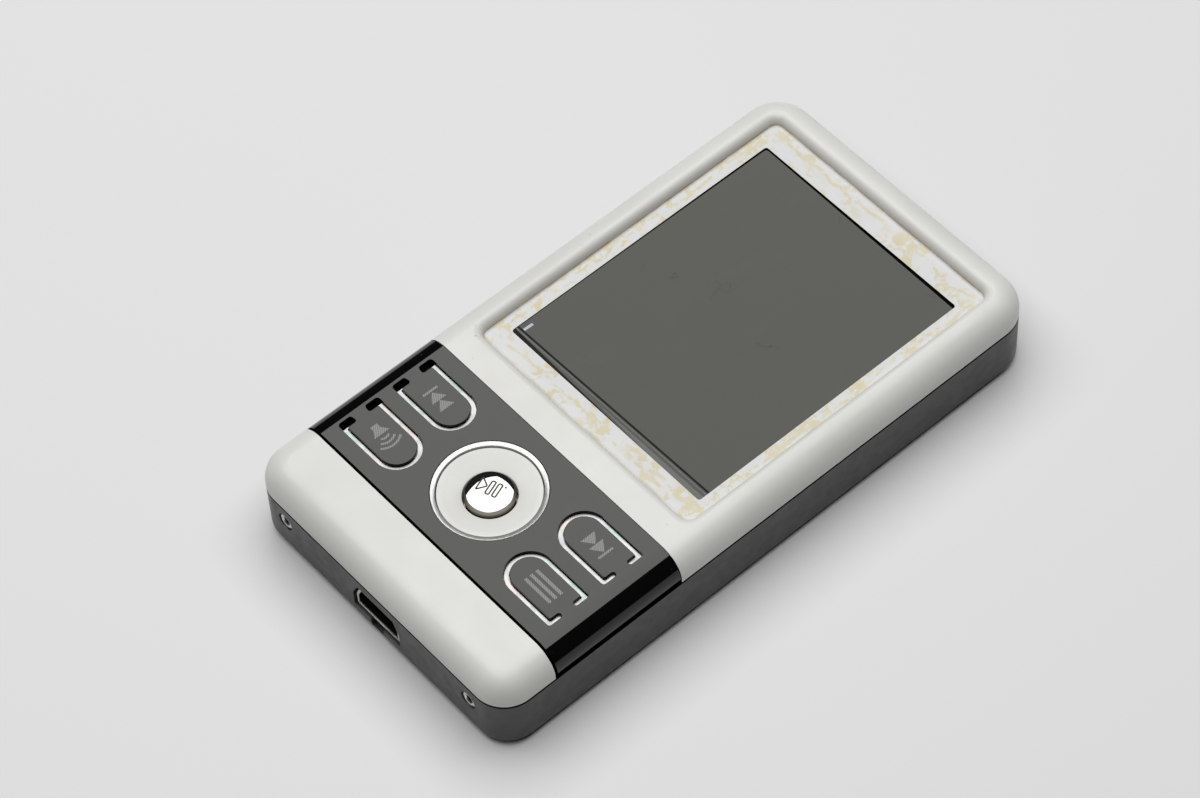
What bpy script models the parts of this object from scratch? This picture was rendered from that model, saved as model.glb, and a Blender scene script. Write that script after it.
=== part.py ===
"""A small digital audio player: white front shell, black control band, dark rear tub.

Lengths below are in millimetres and are turned into metres by MM when a mesh is made.
The origin is on the floor under the middle of the back. X runs across the player, Y runs
from the socket end (negative) to the far end, Z runs from the back to the front face.
"""
import math

import bmesh
import bpy
from mathutils import Matrix, Vector

MM = 0.001

# ---------------------------------------------------------------- driving dimensions
WIDTH = 45.0
LENGTH = 84.0
THICK = 11.7
HALF_W = WIDTH / 2
END = -LENGTH / 2            # Y of the socket end; stations below are measured from it
CORNER_R_NEAR = 4.2
CORNER_R_FAR = 5.0
EDGE_R_TOP = 3.3
EDGE_R_BACK = 0.9
WALL = 1.5

REAR_TOP = 7.65
FRONT_BOTTOM = 7.85
REAR_FLOOR = 1.4
FRONT_CEILING = 9.9
LIP_TOP = 8.45
LIP_INSET = 0.95
LIP_GAP = 0.15

BAND_NEAR = 8.5             # control band, stations along Y
BAND_FAR = 27.13
BAND_SIDE_BOTTOM = 8.6
BAND_GAP_NEAR = 0.36
BAND_GAP_FAR = 0.1
PLATE = 0.6
SADDLE_TOP = 10.4
SADDLE_HALF = 19.6

RECESS_HALF = 18.5
RECESS_NEAR = 32.05
RECESS_FAR = 79.75
RECESS_FLOOR = 10.35
WINDOW_LEFT = -16.45
WINDOW_RIGHT = 16.74
WINDOW_NEAR = 35.1
WINDOW_FAR = 76.15

WHEEL_Y = 17.78
RING_R = 6.95
RING_BORE_R = 6.36
DISC_R = 6.22
PLAY_R = 2.8
PLAY_TRAVEL = 0.3

ROW_NEAR = 13.72
ROW_FAR = 21.88
SLOT_HALF = 2.925
SLOT_TIP = 8.9
SLOT_ROOT = 18.65
SLOT_W = 0.6
NECK_HALF = 1.0
NECK_END = 18.85
HINGE_X = 18.35
HINGE_Z = 11.4
NUB_X = 12.5

BOARD_BOTTOM = 6.1
BOARD_TOP = 6.8
SWITCH_BOTTOM = 6.9
SWITCH_TOP = 7.8
PLUNGER_BOTTOM = 7.45
PLUNGER_TOP = 8.3

SCREW_X = 16.5
SCREW_Z = 5.05
SCREW_HEAD_R = 1.08
BOSS_SPOTS = [(-18.3, 14.0), (18.3, 14.0), (-17.0, 80.3), (17.0, 80.3)]
JACK_X = 12.0
JACK_Z = 3.8

# ---------------------------------------------------------------- a clean start
for old in list(bpy.data.objects):
    bpy.data.objects.remove(old)
for old in list(bpy.data.meshes):
    bpy.data.meshes.remove(old)

PARTS = bpy.data.collections.new("digital_audio_player")
CUTTERS = bpy.data.collections.new("cutters")
bpy.context.scene.collection.children.link(PARTS)
bpy.context.scene.collection.children.link(CUTTERS)

MATERIALS = {}


def material(name, colour, roughness, metallic=0.0):
    """A Principled material made once and shared by name."""
    if name in MATERIALS:
        return MATERIALS[name]
    made = bpy.data.materials.new(name)
    made.use_nodes = True
    shader = made.node_tree.nodes["Principled BSDF"]
    shader.inputs["Base Color"].default_value = (*colour, 1.0)
    shader.inputs["Roughness"].default_value = roughness
    shader.inputs["Metallic"].default_value = metallic
    MATERIALS[name] = made
    return made


WHITE = material("white_shell", (0.72, 0.72, 0.68), 0.35)
DARK = material("dark_cover", (0.055, 0.055, 0.06), 0.45)
BLACK = material("black_gloss", (0.012, 0.012, 0.013), 0.08)
CHROME = material("chrome_trim", (0.75, 0.76, 0.78), 0.12, 1.0)
STEEL = material("steel", (0.45, 0.45, 0.46), 0.3, 1.0)
GOLD = material("gold_contact", (0.8, 0.58, 0.25), 0.25, 1.0)
CONNECTOR = material("black_nylon", (0.02, 0.02, 0.02), 0.5)
SCREEN = material("display_glass", (0.11, 0.11, 0.1), 0.15)
BOARD = material("green_board", (0.03, 0.16, 0.07), 0.45)
CHIP = material("chip_epoxy", (0.02, 0.02, 0.022), 0.55)
FILM = material("flex_film", (0.35, 0.18, 0.04), 0.4)
FOIL = material("battery_foil", (0.5, 0.5, 0.52), 0.4, 1.0)
PAPER = material("white_film", (0.75, 0.75, 0.72), 0.6)
RED = material("red_wire", (0.5, 0.02, 0.02), 0.5)
WIRE_BLACK = material("black_wire", (0.02, 0.02, 0.02), 0.5)
FOAM = material("foam_gasket", (0.02, 0.02, 0.02), 0.9)


# ---------------------------------------------------------------- making objects
def station(y):
    """World Y, in millimetres, of a station measured from the socket end."""
    return END + y


def finish(name, mesh_data, look, origin, collection=PARTS, smooth=False):
    """Turn a bmesh in millimetres into an object whose origin is at `origin`."""
    shift = Matrix.Translation(-Vector(origin))
    bmesh.ops.transform(mesh_data, matrix=shift, verts=mesh_data.verts)
    bmesh.ops.scale(mesh_data, vec=(MM, MM, MM), verts=mesh_data.verts)
    bmesh.ops.recalc_face_normals(mesh_data, faces=mesh_data.faces)
    mesh = bpy.data.meshes.new(name)
    mesh_data.to_mesh(mesh)
    mesh_data.free()
    made = bpy.data.objects.new(name, mesh)
    made.location = Vector(origin) * MM
    if look:
        mesh.materials.append(look)
    if smooth:
        mesh.shade_smooth()
        mesh.set_sharp_from_angle(angle=math.radians(35))
    collection.objects.link(made)
    if collection is CUTTERS:
        made.hide_render = True
        made.display_type = "WIRE"
    return made


def cube(x, y, z):
    """A bmesh box between two limits on each axis, Y given as stations."""
    made = bmesh.new()
    size = (x[1] - x[0], y[1] - y[0], z[1] - z[0])
    middle = ((x[0] + x[1]) / 2, station((y[0] + y[1]) / 2), (z[0] + z[1]) / 2)
    placed = Matrix.Translation(middle) @ Matrix.Diagonal((*size, 1.0))
    bmesh.ops.create_cube(made, size=1.0, matrix=placed)
    return made


def round_edges(mesh_data, chosen, radius, segments):
    """Round the edges for which chosen(middle, direction) is true."""
    picked = []
    for edge in mesh_data.edges:
        ends = [vertex.co for vertex in edge.verts]
        middle = (ends[0] + ends[1]) / 2
        direction = (ends[1] - ends[0]).normalized()
        if chosen(middle, direction):
            picked.append(edge)
    bmesh.ops.bevel(
        mesh_data, geom=picked, offset=radius, offset_type="OFFSET",
        segments=segments, profile=0.5, affect="EDGES",
    )


def round_corners(mesh_data, near, far, segments=6):
    """Round the upright corners: one radius at the socket end, one at the far end."""
    middle_y = sum(vertex.co.y for vertex in mesh_data.verts) / len(mesh_data.verts)
    for radius, side in ((near, -1), (far, 1)):
        if radius > 0:
            round_edges(
                mesh_data,
                lambda m, d: abs(d.z) > 0.9 and (m.y - middle_y) * side > 0,
                radius, segments,
            )


def round_rim(mesh_data, height, radius, segments=5):
    """Round the closed rim of a block that lies at one height."""
    round_edges(
        mesh_data,
        lambda m, d: abs(m.z - height) < 1e-3 and abs(d.z) < 1e-3,
        radius, segments,
    )


def block(name, x, y, z, look, corners=(0, 0), origin=None, collection=PARTS):
    """A box, with round upright corners if asked for."""
    made = cube(x, y, z)
    round_corners(made, *corners)
    centre = ((x[0] + x[1]) / 2, station((y[0] + y[1]) / 2), (z[0] + z[1]) / 2)
    return finish(name, made, look, origin or centre, collection, smooth=any(corners))


def rod(name, spot, span, radius, look, axis="Z", sides=32, collection=PARTS):
    """A cylinder along Z or Y. spot is the other two coordinates, span the limits."""
    made = bmesh.new()
    bmesh.ops.create_cone(
        made, cap_ends=True, segments=sides, radius1=radius, radius2=radius,
        depth=span[1] - span[0],
    )
    middle = (span[0] + span[1]) / 2
    if axis == "Z":
        centre = Vector((spot[0], station(spot[1]), middle))
        turn = Matrix.Identity(4)
    else:
        centre = Vector((spot[0], station(middle), spot[1]))
        turn = Matrix.Rotation(math.radians(90), 4, "X")
    bmesh.ops.transform(made, matrix=Matrix.Translation(centre) @ turn, verts=made.verts)
    return finish(name, made, look, centre, collection, smooth=True)


def outline(name, points, z, look, origin=None, collection=PARTS, upright=False):
    """A flat outline given thickness: a filled 2D curve made into a mesh.

    points are (x, station) pairs and z the lower and upper limits. With upright set,
    points are (x, z) pairs and z is the span of stations along Y.
    """
    curve = bpy.data.curves.new(name, "CURVE")
    curve.dimensions = "2D"
    curve.fill_mode = "BOTH"
    curve.render_resolution_u = 0
    curve.extrude = (z[1] - z[0]) / 2 * MM
    spline = curve.splines.new("POLY")
    spline.points.add(len(points) - 1)
    spline.use_cyclic_u = True
    for point, (across, along) in zip(spline.points, points):
        second = along if upright else station(along)
        point.co = (across * MM, second * MM, 0.0, 1.0)
    carrier = bpy.data.objects.new(name, curve)
    middle = (z[0] + z[1]) / 2
    if upright:
        carrier.matrix_world = (
            Matrix.Translation((0, station(middle) * MM, 0))
            @ Matrix.Rotation(math.radians(90), 4, "X")
        )
    else:
        carrier.matrix_world = Matrix.Translation((0, 0, middle * MM))
    PARTS.objects.link(carrier)
    bpy.context.view_layer.update()
    graph = bpy.context.evaluated_depsgraph_get()
    flat = bpy.data.meshes.new_from_object(carrier.evaluated_get(graph))
    shape = bmesh.new()
    shape.from_mesh(flat)
    bmesh.ops.transform(shape, matrix=carrier.matrix_world, verts=shape.verts)
    bmesh.ops.scale(shape, vec=(1 / MM, 1 / MM, 1 / MM), verts=shape.verts)
    bmesh.ops.remove_doubles(shape, verts=shape.verts, dist=1e-3)
    bpy.data.objects.remove(carrier)
    bpy.data.meshes.remove(flat)
    bpy.data.curves.remove(curve)
    if origin is None:
        low = Vector(min(v.co[i] for v in shape.verts) for i in range(3))
        high = Vector(max(v.co[i] for v in shape.verts) for i in range(3))
        origin = (low + high) / 2
    return finish(name, shape, look, origin, collection)


def turned(name, profile, y, look, sides=48):
    """A shape turned about an upright axis at station y from (radius, z) points."""
    points = bmesh.new()
    corners = [points.verts.new((radius * MM, 0.0, z * MM)) for radius, z in profile]
    closed = profile[0][0] > 0 and profile[-1][0] > 0
    last = len(corners) if closed else len(corners) - 1
    for index in range(last):
        points.edges.new((corners[index], corners[(index + 1) % len(corners)]))
    mesh = bpy.data.meshes.new(name)
    points.to_mesh(mesh)
    points.free()
    mesh.materials.append(look)
    made = bpy.data.objects.new(name, mesh)
    made.location = (0.0, station(y) * MM, 0.0)
    screw = made.modifiers.new("turn", "SCREW")
    screw.axis = "Z"
    screw.angle = math.tau
    screw.steps = sides
    screw.render_steps = sides
    screw.use_merge_vertices = True
    screw.merge_threshold = 1e-6
    screw.use_smooth_shade = True
    PARTS.objects.link(made)
    return made


def boolean(target, tool, operation):
    change = target.modifiers.new(tool.name[:50], "BOOLEAN")
    change.operation = operation
    change.solver = "EXACT"
    change.object = tool


def cut_block(target, name, x, y, z, corners=(0, 0)):
    tool = block(name, x, y, z, None, corners, collection=CUTTERS)
    boolean(target, tool, "DIFFERENCE")
    return tool


def cut_rod(target, name, spot, span, radius, axis="Z", sides=32):
    tool = rod(name, spot, span, radius, None, axis, sides, CUTTERS)
    boolean(target, tool, "DIFFERENCE")
    return tool


def add_block(target, name, x, y, z, corners=(0, 0)):
    tool = block(name, x, y, z, None, corners, collection=CUTTERS)
    boolean(target, tool, "UNION")
    return tool


def add_rod(target, name, spot, span, radius, axis="Z", sides=24):
    tool = rod(name, spot, span, radius, None, axis, sides, CUTTERS)
    boolean(target, tool, "UNION")
    return tool


def tongue_outline(side, row, tip, root, half, neck_half=None, neck_end=None):
    """Outline of a key or its slot: a round end near the wheel, a root, a narrow neck."""
    centre_x = tip + half
    points = []
    for step in range(13):
        angle = math.radians(90 + 180 * step / 12)
        points.append((centre_x + half * math.cos(angle), row + half * math.sin(angle)))
    points.append((root, row - half))
    if neck_half:
        points.append((root, row - neck_half))
        points.append((neck_end, row - neck_half))
        points.append((neck_end, row + neck_half))
        points.append((root, row + neck_half))
    points.append((root, row + half))
    return [(side * x, y) for x, y in points]


# ---------------------------------------------------------------- rear cover
def make_rear_cover():
    shape = cube((-HALF_W, HALF_W), (0, LENGTH), (0, REAR_TOP))
    round_corners(shape, CORNER_R_NEAR, CORNER_R_FAR, 7)
    round_rim(shape, 0.0, EDGE_R_BACK, 4)
    cover = finish("rear_cover", shape, DARK, (0, 0, 0), smooth=True)
    side = HALF_W - LIP_INSET
    near = CORNER_R_NEAR - LIP_INSET
    far = CORNER_R_FAR - LIP_INSET
    lip = block(
        "rear_lip", (-side, side), (LIP_INSET, LENGTH - LIP_INSET), (5.0, LIP_TOP), None,
        (near, far), collection=CUTTERS,
    )
    cut_block(lip, "rear_lip_gap", (-30, 30), (7.4, 28.0), (REAR_TOP - 0.3, 9.5))
    boolean(cover, lip, "UNION")
    inner = HALF_W - WALL
    cut_block(
        cover, "rear_cavity", (-inner, inner), (WALL, LENGTH - WALL), (REAR_FLOOR, 10),
        (CORNER_R_NEAR - WALL, CORNER_R_FAR - WALL),
    )
    for number, (x, y) in enumerate(BOSS_SPOTS, 1):
        add_rod(cover, f"boss_{number}", (x, y), (0.9, BOARD_BOTTOM - 0.15), 1.6)
        cut_rod(cover, f"boss_hole_{number}", (x, y), (2.6, 7), 0.6, sides=16)
    socket = [(-4.15, 1.8), (4.15, 1.8), (4.15, 4.2), (3.2, 6.15), (-3.2, 6.15), (-4.15, 4.2)]
    opening = outline(
        "socket_opening", socket, (-1, WALL + 0.4), None, collection=CUTTERS, upright=True
    )
    boolean(cover, opening, "DIFFERENCE")
    cut_block(cover, "latch_notch", (-1.2, 1.1), (-1, 1.1), (0.4, 2.1))
    for side_name, x in (("left", -SCREW_X), ("right", SCREW_X)):
        cut_rod(cover, f"screw_seat_{side_name}", (x, SCREW_Z), (-1, 0.95), 1.2, "Y", 24)
        cut_rod(cover, f"screw_way_{side_name}", (x, SCREW_Z), (0.5, 2.0), 0.65, "Y", 16)
    cut_rod(cover, "jack_hole", (JACK_X, JACK_Z), (LENGTH - 2, LENGTH + 1), 2.5, "Y", 32)
    return cover


# ---------------------------------------------------------------- front cover
def make_front_cover():
    shape = cube((-HALF_W, HALF_W), (0, LENGTH), (FRONT_BOTTOM, THICK))
    round_corners(shape, CORNER_R_NEAR, CORNER_R_FAR, 8)
    round_rim(shape, THICK, EDGE_R_TOP, 6)
    cover = finish("front_cover", shape, WHITE, (0, 0, THICK), smooth=True)
    inner = HALF_W - WALL
    cut_block(
        cover, "front_cavity", (-inner, inner), (WALL, LENGTH - WALL), (7, FRONT_CEILING),
        (CORNER_R_NEAR - WALL, CORNER_R_FAR - WALL),
    )
    inset = LIP_INSET - LIP_GAP
    side = HALF_W - inset
    cut_block(
        cover, "front_rebate", (-side, side), (inset, LENGTH - inset), (7, LIP_TOP + 0.2),
        (CORNER_R_NEAR - inset, CORNER_R_FAR - inset),
    )
    near = BAND_NEAR - BAND_GAP_NEAR
    far = BAND_FAR + BAND_GAP_FAR
    cut_block(cover, "band_groove", (-30, 30), (near, far), (SADDLE_TOP, 13))
    cut_block(cover, "band_side_left", (-30, -SADDLE_HALF), (near, far), (7, 13))
    cut_block(cover, "band_side_right", (SADDLE_HALF, 30), (near, far), (7, 13))
    cut_block(
        cover, "lens_recess", (-RECESS_HALF, RECESS_HALF), (RECESS_NEAR, RECESS_FAR),
        (RECESS_FLOOR, 13), (2.5, 2.5),
    )
    cut_block(
        cover, "screen_window", (WINDOW_LEFT, WINDOW_RIGHT), (WINDOW_NEAR, WINDOW_FAR),
        (8, 12), (0.3, 0.3),
    )
    cut_rod(cover, "wheel_way", (0, WHEEL_Y), (9, 11), DISC_R + 0.2, sides=48)
    for name, side, row in KEYS:
        x = side * NUB_X
        cut_block(cover, f"nub_way_{name}", (x - 1.6, x + 1.6), (row - 1.8, row + 1.8), (9, 11))
    for side_name, side in (("left", -1), ("right", 1)):
        x = side * SCREW_X
        add_block(cover, f"lug_{side_name}", (x - 1.9, x + 1.9), (1.75, 5.2), (3.6, 10.1))
        add_block(cover, f"lug_foot_{side_name}", (x - 1.9, x + 1.9), (1.2, 5.2), (8.9, 10.1))
        cut_rod(cover, f"lug_hole_{side_name}", (x, SCREW_Z), (0.5, 6), 0.62, "Y", 16)
    return cover


# ---------------------------------------------------------------- control band
def make_control_panel():
    shape = cube((-HALF_W, HALF_W), (BAND_NEAR, BAND_FAR), (FRONT_BOTTOM, THICK))
    round_edges(
        shape, lambda m, d: abs(m.z - THICK) < 1e-3 and abs(d.y) > 0.9, EDGE_R_TOP, 8
    )
    panel = finish("control_panel", shape, BLACK, (0, 0, THICK), smooth=True)
    hollow = cube((-21.2, 21.2), (0, 40), (5, THICK - PLATE))
    round_edges(
        hollow, lambda m, d: abs(m.z - THICK + PLATE) < 1e-3 and abs(d.y) > 0.9, 2.0, 6
    )
    boolean(panel, finish("band_hollow", hollow, None, (0, 0, 0), CUTTERS), "DIFFERENCE")
    for side_name, x in (("left", (-30, -21.8)), ("right", (21.8, 30))):
        cut_block(panel, f"band_lip_{side_name}", x, (0, 40), (5, BAND_SIDE_BOTTOM))
    cut_rod(panel, "wheel_opening", (0, WHEEL_Y), (10, 13), RING_R + 0.1, sides=64)
    for name, side, row in KEYS:
        points = tongue_outline(
            side, row, SLOT_TIP, SLOT_ROOT, SLOT_HALF, NECK_HALF + 0.12, NECK_END + 0.15
        )
        slot = outline(f"slot_{name}", points, (10.8, 12), None, collection=CUTTERS)
        boolean(panel, slot, "DIFFERENCE")
    return panel


def make_key(name, side, row):
    """A key with its nub; the object's origin is on the hinge line in its neck."""
    hinge = (side * HINGE_X, station(row), HINGE_Z)
    points = tongue_outline(
        side, row, SLOT_TIP + SLOT_W, SLOT_ROOT - SLOT_W, SLOT_HALF - SLOT_W,
        NECK_HALF, NECK_END,
    )
    key = outline(f"{name}_button", points, (THICK - PLATE, THICK), BLACK, origin=hinge)
    x = side * NUB_X
    add_block(
        key, f"nub_{name}", (x - 1.0, x + 1.0), (row - 1.2, row + 1.2),
        (PLUNGER_TOP + 0.1, THICK - PLATE / 2),
    )
    return key


# ---------------------------------------------------------------- tact switches
def make_switch(name, x, y):
    half = 1.8
    body = block(
        f"{name}_switch", (x - half, x + half), (y - half, y + half),
        (SWITCH_BOTTOM, SWITCH_TOP), STEEL,
    )
    cut_rod(body, f"switch_well_{name}", (x, y), (SWITCH_BOTTOM + 0.15, 9), 1.05, sides=24)
    return body


def make_plunger(name, x, y):
    return rod(
        f"{name}_plunger", (x, y), (PLUNGER_BOTTOM, PLUNGER_TOP), 0.75, CONNECTOR, sides=20
    )


# ---------------------------------------------------------------- wheel
def make_wheel():
    plate = block(
        "button_trim_plate", (-18.25, 19.3), (10.3, 25.3), (10.45, 10.75), CHROME
    )
    cut_rod(plate, "plate_wheel_way", (0, WHEEL_Y), (10, 12), RING_R + 0.3, sides=48)
    for name, side, row in KEYS:
        x = side * NUB_X
        cut_block(plate, f"plate_way_{name}", (x - 1.6, x + 1.6), (row - 1.8, row + 1.8), (10, 12))
    ring = [
        (RING_R - 0.12, THICK), (RING_R, THICK - 0.12), (RING_R, 10.55),
        (RING_BORE_R, 10.55), (RING_BORE_R, THICK - 0.24), (RING_BORE_R + 0.08, THICK - 0.17),
    ]
    turned("wheel_ring", ring, WHEEL_Y, CHROME, 64)
    disc = [
        (DISC_R - 0.08, 11.32), (DISC_R, 11.25), (DISC_R, 9.75), (7.2, 9.75), (7.2, 9.4),
        (3.3, 9.4), (3.3, 10.64), (3.38, 10.72), (3.8, 10.87), (4.3, 11.01), (4.9, 11.14),
        (5.5, 11.24),
    ]
    turned("wheel_disc", disc, WHEEL_Y, WHITE, 64)
    play = [
        (0.0, 11.62), (0.9, 11.59), (1.7, 11.52), (2.4, 11.42), (PLAY_R, 11.34),
        (2.92, 11.24), (2.97, 11.0), (3.12, 10.65), (3.0, 10.5), (3.0, 9.2), (3.9, 9.2),
        (3.9, 8.75), (1.2, 8.75), (1.2, PLUNGER_TOP + 0.1), (0.0, PLUNGER_TOP + 0.1),
    ]
    return turned("play_button", play, WHEEL_Y, CHROME, 48)


# ---------------------------------------------------------------- screws
def make_end_screw(name, x):
    head = rod(name, (x, SCREW_Z), (0.12, 0.85), SCREW_HEAD_R, STEEL, "Y", 24)
    add_rod(head, f"{name}_shank", (x, SCREW_Z), (0.6, 4.8), 0.45, "Y", 12)
    z = SCREW_Z
    cut_block(head, f"{name}_slot_a", (x - 0.6, x + 0.6), (0, 0.55), (z - 0.13, z + 0.13))
    cut_block(head, f"{name}_slot_b", (x - 0.13, x + 0.13), (0, 0.55), (z - 0.6, z + 0.6))
    return head


def make_board_screw(number, x, y):
    name = f"board_screw_{number}"
    head = rod(name, (x, y), (BOARD_TOP + 0.12, BOARD_TOP + 0.6), 1.15, STEEL, sides=24)
    add_rod(head, f"{name}_shank", (x, y), (3.0, BOARD_TOP + 0.3), 0.42, sides=12)
    top = BOARD_TOP + 0.3
    cut_block(head, f"{name}_slot_a", (x - 0.7, x + 0.7), (y - 0.14, y + 0.14), (top, 9))
    cut_block(head, f"{name}_slot_b", (x - 0.14, x + 0.14), (y - 0.7, y + 0.7), (top, 9))
    return head


# ---------------------------------------------------------------- socket at the near end
def trapezoid(half_low, low, shoulder, half_high, high):
    return [
        (-half_low, low), (half_low, low), (half_low, shoulder), (half_high, high),
        (-half_high, high), (-half_low, shoulder),
    ]


def make_usb():
    shell = outline(
        "usb_shell", trapezoid(3.85, 2.05, 4.1, 3.0, 5.95), (0.25, 9.45), STEEL, upright=True
    )
    bore = outline(
        "usb_bore", trapezoid(3.5, 2.4, 3.98, 2.72, 5.6), (-1, 12), None,
        collection=CUTTERS, upright=True,
    )
    boolean(shell, bore, "DIFFERENCE")
    tongue = block("usb_tongue", (-2.5, 2.5), (7.6, 9.3), (2.6, 5.3), CONNECTOR)
    add_block(tongue, "usb_tongue_blade", (-2.25, 2.25), (1.3, 8.0), (3.45, 4.15))
    fingers = []
    for index in range(5):
        centre = -1.6 + 0.8 * index
        fingers.append((centre - 0.16, 6.6))
        fingers.append((centre - 0.16, 1.6))
        fingers.append((centre + 0.16, 1.6))
        fingers.append((centre + 0.16, 6.6))
    points = [(-2.0, 7.3), (-2.0, 6.6), *fingers, (2.0, 6.6), (2.0, 7.3)]
    outline("usb_contacts", points, (4.25, 4.4), GOLD)


# ---------------------------------------------------------------- display
def make_display():
    near = 33.8
    far = 77.8
    side = 17.1
    panel = block("lcd_panel", (-side, side), (near, far), (8.35, 9.55), SCREEN)
    add_block(
        panel, "raised_glass", (WINDOW_LEFT + 0.05, WINDOW_RIGHT - 0.05),
        (WINDOW_NEAR + 0.05, WINDOW_FAR - 0.05), (9.3, 10.05), (0.3, 0.3),
    )
    block("lcd_backlight", (-side, side), (near, far), (7.45, 8.25), PAPER)
    frame = block("lcd_frame", (-17.7, 17.7), (33.2, 78.4), (7.0, 9.1), STEEL)
    cut_block(frame, "frame_tray", (-17.3, 17.3), (33.6, 78.0), (7.3, 10))
    cut_block(frame, "frame_flex_way", (-8, 8), (32, 34.5), (7.6, 10))
    gasket = block("lcd_gasket", (-17.6, 17.6), (33.5, 77.9), (9.65, 9.8), FOAM)
    cut_block(gasket, "gasket_window", (-16.7, 16.95), (34.9, 76.4), (9, 10))
    path = [
        (33.65, 8.7), (32.2, 8.7), (31.5, 8.55), (31.05, 8.15), (30.9, 7.7), (30.9, 7.3)
    ]
    ribbon = bmesh.new()
    rails = []
    for x in (-7.0, 7.0):
        rails.append([ribbon.verts.new((x, station(y), z)) for y, z in path])
    for index in range(len(path) - 1):
        left, right = rails
        ribbon.faces.new((left[index], left[index + 1], right[index + 1], right[index]))
    flex = finish("lcd_flex", ribbon, FILM, (0, station(32), 8))
    thicken = flex.modifiers.new("thickness", "SOLIDIFY")
    thicken.thickness = 0.14 * MM
    thicken.offset = 0.0
    block("lcd_connector", (-7.4, 7.4), (30.2, 31.6), (6.92, 7.2), PAPER)


# ---------------------------------------------------------------- board and its parts
def make_board():
    outline_points = [
        (-13.8, 2.2), (13.8, 2.2), (13.8, 5.7), (14.2, 6.1), (19.6, 6.2), (20.0, 6.6),
        (20.0, 79.0), (17.6, 81.8), (-17.6, 81.9), (-20.0, 79.1), (-20.0, 6.5), (-19.6, 6.1),
        (-14.2, 6.0), (-13.8, 5.6),
    ]
    board = outline("main_board", outline_points, (BOARD_BOTTOM, BOARD_TOP), BOARD)
    for number, (x, y) in enumerate(BOSS_SPOTS, 1):
        cut_rod(board, f"board_hole_{number}", (x, y), (5, 8), 0.65, sides=16)
        make_board_screw(number, x, y)
    under = BOARD_BOTTOM - 0.1
    block("media_processor", (-9, 1), (11.2, 20.8), (under - 1.0, under), CHIP)
    block("flash_memory", (-6, 6), (68.5, 80.5), (under - 1.0, under), CHIP)
    block("clock_crystal", (4.5, 8.0), (13, 14.6), (under - 0.8, under), STEEL)
    rod("power_inductor", (-12.2, 77.2), (under - 1.8, under), 2.3, CHIP, sides=24)


def make_battery():
    shape = cube((-16.9, 16.9), (22.5, 65.5), (1.75, 5.45))
    round_corners(shape, 1.0, 1.0, 3)
    round_edges(
        shape,
        lambda m, d: abs(abs(m.z - 3.6) - 1.85) < 1e-3 and abs(d.z) < 1e-3,
        0.8, 2,
    )
    finish("battery_cell", shape, FOIL, (0, 0, 3.6), smooth=True)
    block("battery_tape", (-14, 14), (25, 63), (1.5, 1.62), PAPER)
    block("battery_connector", (-16.0, -10.4), (69.9, 72.9), (4.4, 6.0), PAPER)
    for name, x, end_x, look in (
        ("battery_lead_red", -11.0, -12.1, RED),
        ("battery_lead_black", -13.2, -14.3, WIRE_BLACK),
    ):
        curve = bpy.data.curves.new(name, "CURVE")
        curve.dimensions = "3D"
        curve.bevel_depth = 0.35 * MM
        curve.bevel_resolution = 2
        curve.render_resolution_u = 0
        curve.use_fill_caps = True
        spline = curve.splines.new("POLY")
        steps = 10
        spline.points.add(steps)
        for index, point in enumerate(spline.points):
            share = index / steps
            sway = 0.5 - 0.5 * math.cos(math.pi * share)
            across = x + (end_x - x) * sway
            along = 65.8 + 3.8 * share
            height = 3.7 + 1.5 * sway - 0.4 * math.sin(math.pi * share)
            point.co = (across * MM, station(along) * MM, height * MM, 1.0)
        curve.materials.append(look)
        PARTS.objects.link(bpy.data.objects.new(name, curve))


def make_jack():
    jack = block("headphone_jack", (9.0, 15.0), (70.5, 82.25), (1.6, 5.95), CONNECTOR)
    add_rod(jack, "jack_nose", (JACK_X, JACK_Z), (81, 83.7), 2.3, "Y", 32)
    cut_rod(jack, "jack_bore", (JACK_X, JACK_Z), (71.5, 86), 1.8, "Y", 32)


# ---------------------------------------------------------------- assembly
KEYS = [
    ("volume", -1, ROW_NEAR),
    ("previous", -1, ROW_FAR),
    ("menu", 1, ROW_NEAR),
    ("next", 1, ROW_FAR),
]


def pivot(name, spot, children):
    """An empty on a joint's axis that carries a moving piece."""
    empty = bpy.data.objects.new(name, None)
    empty.location = Vector(spot) * MM
    empty.empty_display_size = 2 * MM
    PARTS.objects.link(empty)
    bpy.context.view_layer.update()
    for child in children:
        child.parent = empty
        child.matrix_parent_inverse = empty.matrix_world.inverted()


make_rear_cover()
make_front_cover()
make_control_panel()
play = make_wheel()
make_switch("play", 0, WHEEL_Y)
play_plunger = make_plunger("play", 0, WHEEL_Y)
pivot("play_axis", (0, station(WHEEL_Y), THICK), [play, play_plunger])
for key_name, key_side, key_row in KEYS:
    key = make_key(key_name, key_side, key_row)
    make_switch(key_name, key_side * NUB_X, key_row)
    plunger = make_plunger(key_name, key_side * NUB_X, key_row)
    pivot(f"{key_name}_axis", (key_side * HINGE_X, station(key_row), HINGE_Z), [key, plunger])
make_end_screw("end_screw_left", -SCREW_X)
make_end_screw("end_screw_right", SCREW_X)
make_usb()
make_display()
make_board()
make_battery()
make_jack()
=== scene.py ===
"""Looks for the small digital audio player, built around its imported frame.

Lengths are in millimetres until a mesh is made. Stations run along Y from the socket end.
"""
import math

import bmesh
import bpy
from mathutils import Matrix, Vector


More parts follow.
